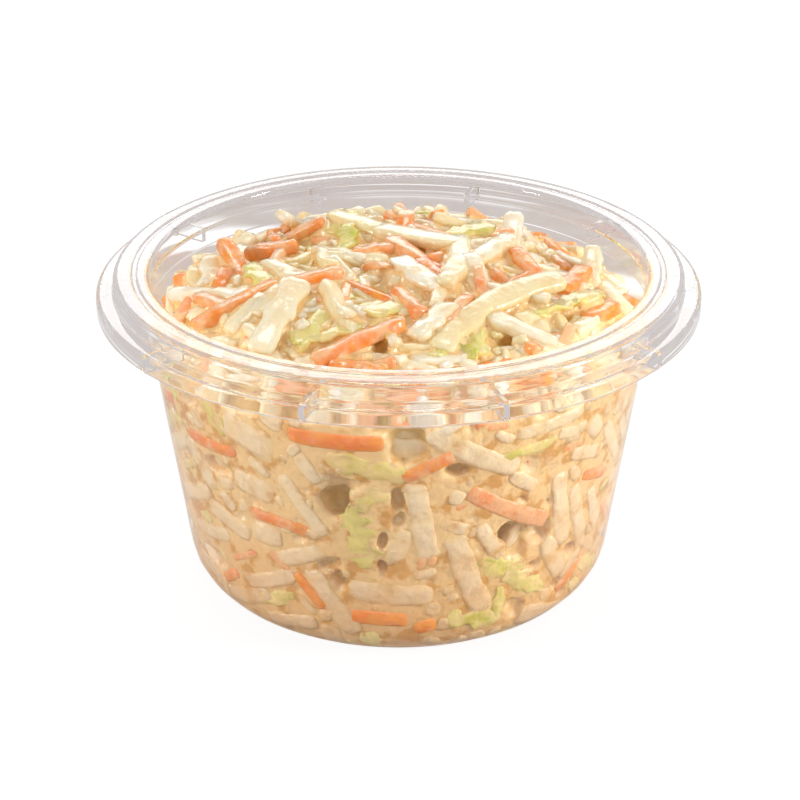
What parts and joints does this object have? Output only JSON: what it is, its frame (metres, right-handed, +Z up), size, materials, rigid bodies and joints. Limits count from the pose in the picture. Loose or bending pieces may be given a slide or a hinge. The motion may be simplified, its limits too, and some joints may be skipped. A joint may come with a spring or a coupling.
{
  "type": "coleslaw in a plastic pot",
  "caption": "Shredded cabbage and carrot in creamy dressing, heaped in a clear round pot with a tapered wall, a flat rim and a skirted flange; it stands on its flat base, with no lid.",
  "frame": {"origin": "centre of the pot's flat base, on the surface it stands on", "axes": "+Z up along the pot's axis; -Y faces the viewer of the picture; +X to that viewer's right"},
  "size_m": [0.095, 0.095, 0.0545],
  "materials": {
    "clear_plastic": "clear, smooth and glossy",
    "coleslaw": "moist creamy dressing over the packed salad",
    "cabbage": "moist, pale cream, coated in dressing",
    "cabbage_green": "moist, yellow-green leaf",
    "carrot": "moist, orange, partly coated in dressing"
  },
  "bodies": {
    "root": {"cup": "clear_plastic", "coleslaw": "coleslaw"}
  },
  "joints": []
}
